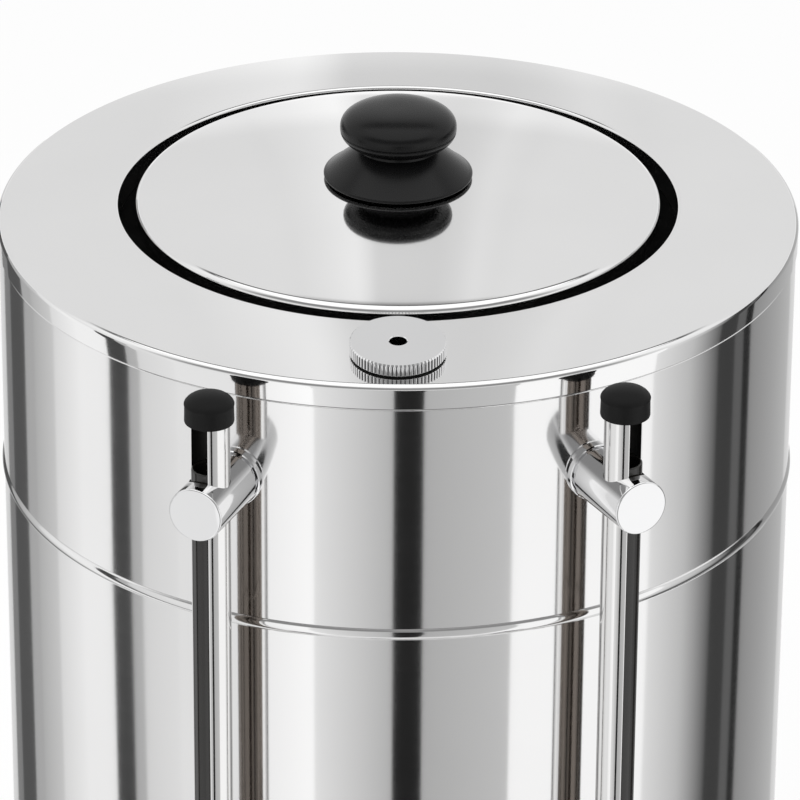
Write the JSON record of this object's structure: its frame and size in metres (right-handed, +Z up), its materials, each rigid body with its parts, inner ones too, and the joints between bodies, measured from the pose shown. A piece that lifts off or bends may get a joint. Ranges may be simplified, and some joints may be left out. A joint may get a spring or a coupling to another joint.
{
  "type": "coffee urn",
  "caption": "Tall round steel coffee urn with a domed lift-off lid, a knurled filler cap, shielded sight gauges and lever taps.",
  "frame": {"origin": "on the urn's axis, in the plane of the foot ring that stands on the table", "axes": "+Z up along the urn's axis, -Y to the front between the taps, +X to the right seen from the front"},
  "size_m": [0.3605, 0.438, 0.605],
  "materials": {
    "satin_steel": "fine satin brushing round the deck, with a polished rim and lip",
    "mirror_steel": "mirror-polished stainless steel",
    "lid_steel": "polished stainless steel with a faint spun grain",
    "inner_steel": "plain satin stainless steel",
    "chrome": "bright chrome on turned brass",
    "polished_tube": "polished drawn tube",
    "element_steel": "heat-tinted element sheath",
    "spring_steel": "bright spring wire",
    "brass": "turned brass",
    "black_plastic": "satin black moulded plastic",
    "grey_plastic": "grey moulded plastic",
    "ivory_plastic": "ivory moulded plastic",
    "red_plastic": "glossy red moulded plastic",
    "red_lens": "clear red lens",
    "amber_lens": "clear amber lens",
    "black_rubber": "matt black rubber",
    "smoked_glass": "dark tinted tube",
    "insulation": "mineral wool blanket"
  },
  "bodies": {
    "root": {"top_deck": "satin_steel", "upper_shell": "mirror_steel", "body_bead": "mirror_steel", "lower_shell": "mirror_steel", "base_plate": "inner_steel", "foot_ring": "black_rubber", "base_screws": "chrome", "coffee_vessel": "inner_steel", "jacket_tank": "inner_steel", "insulation_sleeve": "insulation", "mouth_gasket": "black_rubber", "outlet_sleeve": "inner_steel", "heating_element": "element_steel", "element_nuts": "brass", "overheat_cutout": "black_plastic", "terminal_block": "ivory_plastic", "filler_neck": "inner_steel", "control_panel": "black_plastic", "thermostat_body": "grey_plastic", "switch_body": "black_plastic", "power_lamp": "amber_lens", "heating_lamp": "red_lens", "cable_gland": "black_plastic", "gland_nut": "black_plastic", "arm_nuts": "chrome", "glass_seals": "black_rubber", "tap_gaskets": "black_rubber", "tap_nuts": "brass", "left_gauge_arm": "chrome", "left_gauge_shield": "polished_tube", "left_sight_glass": "smoked_glass", "left_tap_shank": "chrome", "left_tap_body": "chrome", "left_tap_bonnet": "chrome", "left_tap_spring": "spring_steel", "right_gauge_arm": "chrome", "right_gauge_shield": "polished_tube", "right_sight_glass": "smoked_glass", "right_tap_shank": "chrome", "right_tap_body": "chrome", "right_tap_bonnet": "chrome", "right_tap_spring": "spring_steel"},
    "basket": {"brew_basket": "inner_steel", "basket_screen": "inner_steel"},
    "lid_cover": {"lid": "lid_steel", "lid_knob": "black_plastic", "lid_knob_screw": "chrome"},
    "filler_ring": {"filler_seal": "black_rubber"},
    "filler_screw": {"filler_cap": "chrome"},
    "dial": {"thermostat_shaft": "grey_plastic", "thermostat_knob": "black_plastic"},
    "rocker": {"switch_rocker": "red_plastic"},
    "left_cap": {"left_gauge_cap": "black_rubber"},
    "left_valve": {"left_tap_stem": "brass", "left_tap_pin": "chrome"},
    "left_handle": {"left_tap_lever": "black_plastic"},
    "right_cap": {"right_gauge_cap": "black_rubber"},
    "right_valve": {"right_tap_stem": "brass", "right_tap_pin": "chrome"},
    "right_handle": {"right_tap_lever": "black_plastic"}
  },
  "joints": [
    {"name": "basket_lift", "type": "slide", "parent": "root", "child": "basket", "axis": [0, 0, 1], "range_m": [0, 0.2]},
    {"name": "lid_lift", "type": "slide", "parent": "basket", "child": "lid_cover", "axis": [0, 0, 1], "range_m": [0, 0.15]},
    {"name": "filler_rise", "type": "slide", "parent": "root", "child": "filler_ring", "axis": [-0.0043, -0.094, 0.9956], "range_m": [0, 0.008]},
    {"name": "filler_turn", "type": "hinge", "parent": "filler_ring", "child": "filler_screw", "pos_m": [-0.00692, -0.15244, 0.55732], "axis": [-0.0043, -0.094, 0.9956], "range_deg": [0, 1440]},
    {"name": "thermostat_turn", "type": "hinge", "parent": "root", "child": "dial", "pos_m": [-0.028, -0.1864, 0.062], "axis": [0, 1, 0], "range_deg": [0, 270]},
    {"name": "switch_rock", "type": "hinge", "parent": "root", "child": "rocker", "pos_m": [0.034, -0.1864, 0.062], "axis": [1, 0, 0], "range_deg": [-16, 0]},
    {"name": "left_cap_pull", "type": "slide", "parent": "root", "child": "left_cap", "axis": [0, 0, 1], "range_m": [0, 0.03]},
    {"name": "left_stem_lift", "type": "slide", "parent": "root", "child": "left_valve", "axis": [0, 0, 1], "range_m": [0, 0.00386], "deforming": ["left_tap_spring"]},
    {"name": "left_lever_tip", "type": "hinge", "parent": "left_valve", "child": "left_handle", "pos_m": [-0.10495, -0.21905, 0.2084], "axis": [0.9018, -0.4321, 0], "range_deg": [0, 40], "stiffness_Nm_per_rad": 0.35, "springref_deg": -11.46},
    {"name": "right_cap_pull", "type": "slide", "parent": "root", "child": "right_cap", "axis": [0, 0, 1], "range_m": [0, 0.03]},
    {"name": "right_stem_lift", "type": "slide", "parent": "root", "child": "right_valve", "axis": [0, 0, 1], "range_m": [0, 0.00386], "deforming": ["right_tap_spring"]},
    {"name": "right_lever_tip", "type": "hinge", "parent": "right_valve", "child": "right_handle", "pos_m": [0.10495, -0.21905, 0.2084], "axis": [0.9018, 0.4321, 0], "range_deg": [0, 40], "stiffness_Nm_per_rad": 0.35, "springref_deg": -11.46}
  ],
  "couplings": [
    {"joint": "filler_turn", "follows": "filler_rise", "rad_per_m": 3141.6},
    {"joint": "left_lever_tip", "follows": "left_stem_lift", "rad_per_m": 181},
    {"joint": "right_lever_tip", "follows": "right_stem_lift", "rad_per_m": 181}
  ]
}
